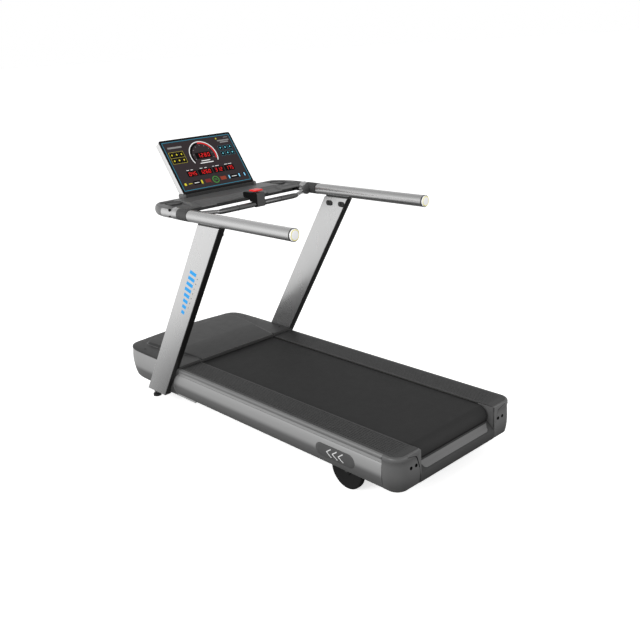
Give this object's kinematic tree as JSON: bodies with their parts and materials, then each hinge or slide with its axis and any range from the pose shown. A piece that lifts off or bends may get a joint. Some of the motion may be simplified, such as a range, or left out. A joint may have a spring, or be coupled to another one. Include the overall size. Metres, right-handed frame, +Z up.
{
  "type": "motorised treadmill",
  "caption": "Flat-deck motorised gym treadmill with a running belt on rollers, ribbed foot rails, leaning uprights, long handrails, a cross bar and a tilted console screen.",
  "frame": {"origin": "on the floor under the middle of the machine: the centre of the bounding box's base", "axes": "+Y is the way the runner faces, from the rear end caps to the motor hood; +X is the runner's right; +Z is up"},
  "size_m": [0.97, 2.3091, 1.5451],
  "materials": {
    "chassis_paint": "satin",
    "deck_board_wood": "dark phenolic face",
    "cushion_rubber": "matt",
    "belt_rubber": "fine grained",
    "rail_plastic": "ribbed, matt",
    "edge_trim_metal": "satin",
    "side_panel_metal": "satin grey",
    "end_cap_plastic": "fine moulded grain",
    "rear_cover_plastic": "satin",
    "hood_plastic": "matt moulded grain",
    "steel": "ground",
    "motor_paint": "semi-gloss",
    "drive_belt_rubber": "matt",
    "controller_metal": "anodised",
    "black_plastic": "matt",
    "red_plastic": "glossy",
    "lift_arm_paint": "light grey",
    "foot_rubber": "matt",
    "wheel_plastic": "matt",
    "upright_aluminium": "satin silver",
    "upright_strip": "matt",
    "boot_plastic": "matt",
    "bolt_steel": "black oxide",
    "handrail_tube": "satin silver",
    "handrail_cap": "ivory",
    "sleeve_plastic": "satin",
    "elbow_metal": "satin silver",
    "console_plastic": "moulded grain",
    "grip_steel": "polished",
    "screen_back_plastic": "silver white",
    "bezel_plastic": "glossy",
    "display_surface": "smooth overlay",
    "badge_plastic": "glossy"
  },
  "bodies": {
    "frame": {"left_frame_rail": "chassis_paint", "right_frame_rail": "chassis_paint", "frame_crossmembers": "chassis_paint", "upright_brackets": "chassis_paint", "deck_board": "deck_board_wood", "deck_cushions": "cushion_rubber", "running_belt": "belt_rubber", "left_foot_rail": "rail_plastic", "right_foot_rail": "rail_plastic", "edge_trims": "edge_trim_metal", "left_side_panel": "side_panel_metal", "right_side_panel": "side_panel_metal", "left_end_cap": "end_cap_plastic", "right_end_cap": "end_cap_plastic", "rear_cross_cover": "rear_cover_plastic", "adjuster_bolts": "bolt_steel", "roller_shafts": "steel", "motor_hood": "hood_plastic", "front_shroud": "side_panel_metal", "belly_pan": "black_plastic", "drive_motor": "motor_paint", "motor_plate": "chassis_paint", "drive_belt": "drive_belt_rubber", "motor_controller": "controller_metal", "power_panel": "black_plastic", "lift_brackets": "chassis_paint", "wheel_axles": "steel", "left_upright": "upright_aluminium", "right_upright": "upright_aluminium", "upright_strips": "upright_strip", "upright_boots": "boot_plastic", "upright_bolts": "bolt_steel", "handrail_saddles": "black_plastic", "left_handrail": "handrail_tube", "right_handrail": "handrail_tube", "handrail_ends": "handrail_cap", "handrail_sleeves": "sleeve_plastic", "elbow_bands": "elbow_metal", "console_base": "console_plastic", "cross_bar": "black_plastic", "pulse_grips": "grip_steel", "estop_housing": "console_plastic", "console_cradle": "black_plastic", "console_back": "screen_back_plastic", "console_bezel": "bezel_plastic", "display_panel": "display_surface", "side_badges": "badge_plastic", "hood_screws": "bolt_steel"},
    "front_roller": {"front_roller": "steel"},
    "rear_roller": {"rear_roller": "steel"},
    "motor_rotor": {"motor_rotor": "steel"},
    "left_wheel": {"left_rear_wheel": "wheel_plastic"},
    "right_wheel": {"right_rear_wheel": "wheel_plastic"},
    "lift_frame": {"lift_frame": "lift_arm_paint"},
    "left_foot": {"left_foot_pad": "foot_rubber"},
    "right_foot": {"right_foot_pad": "foot_rubber"},
    "lift_motor": {"lift_motor": "motor_paint"},
    "lift_rod": {"lift_rod": "steel"},
    "estop_button": {"estop_button": "red_plastic"},
    "power_rocker": {"power_rocker": "red_plastic"}
  },
  "joints": [
    {"name": "front_roller_spin", "type": "hinge", "parent": "frame", "child": "front_roller", "pos_m": [0, 0.586, 0.2195], "axis": [1, 0, 0], "continuous": true},
    {"name": "rear_roller_spin", "type": "hinge", "parent": "frame", "child": "rear_roller", "pos_m": [0, -1.068, 0.2195], "axis": [1, 0, 0], "continuous": true},
    {"name": "motor_spin", "type": "hinge", "parent": "frame", "child": "motor_rotor", "pos_m": [-0.25, 0.85, 0.226], "axis": [1, 0, 0], "continuous": true},
    {"name": "left_wheel_spin", "type": "hinge", "parent": "frame", "child": "left_wheel", "pos_m": [-0.403, -0.808, 0.1], "axis": [1, 0, 0], "continuous": true},
    {"name": "right_wheel_spin", "type": "hinge", "parent": "frame", "child": "right_wheel", "pos_m": [0.403, -0.808, 0.1], "axis": [1, 0, 0], "continuous": true},
    {"name": "lift_hinge", "type": "hinge", "parent": "frame", "child": "lift_frame", "pos_m": [0, 0.46, 0.105], "axis": [-1, 0, 0], "range_deg": [0, 33]},
    {"name": "left_foot_swivel", "type": "hinge", "parent": "lift_frame", "child": "left_foot", "pos_m": [-0.396, 0.88, 0.028], "axis": [1, 0, 0], "range_deg": [0, 25.5]},
    {"name": "right_foot_swivel", "type": "hinge", "parent": "lift_frame", "child": "right_foot", "pos_m": [0.396, 0.88, 0.028], "axis": [1, 0, 0], "range_deg": [0, 25.5]},
    {"name": "lift_motor_tilt", "type": "hinge", "parent": "frame", "child": "lift_motor", "pos_m": [0, 0.686, 0.258], "axis": [-1, 0, 0], "range_deg": [0, 12.5]},
    {"name": "lift_rod_slide", "type": "slide", "parent": "lift_motor", "child": "lift_rod", "axis": [0, 0.0596, -0.9982], "range_m": [0, 0.128]},
    {"name": "estop_press", "type": "slide", "parent": "frame", "child": "estop_button", "axis": [0, 0, -1], "range_m": [0, 0.005], "stiffness_N_per_m": 600, "springref_m": -0.002},
    {"name": "power_rocker_tilt", "type": "hinge", "parent": "frame", "child": "power_rocker", "pos_m": [0.021, 1.146, 0.195], "axis": [1, 0, 0], "range_deg": [0, 16]}
  ],
  "couplings": [
    {"joint": "rear_roller_spin", "follows": "front_roller_spin", "ratio": 1},
    {"joint": "motor_spin", "follows": "front_roller_spin", "ratio": 1.6667},
    {"joint": "left_foot_swivel", "follows": "lift_hinge", "ratio": 0.764},
    {"joint": "right_foot_swivel", "follows": "lift_hinge", "ratio": 0.764},
    {"joint": "lift_motor_tilt", "follows": "lift_hinge", "ratio": 0.3762},
    {"joint": "lift_rod_slide", "follows": "lift_hinge", "m_per_rad": 0.22166}
  ]
}
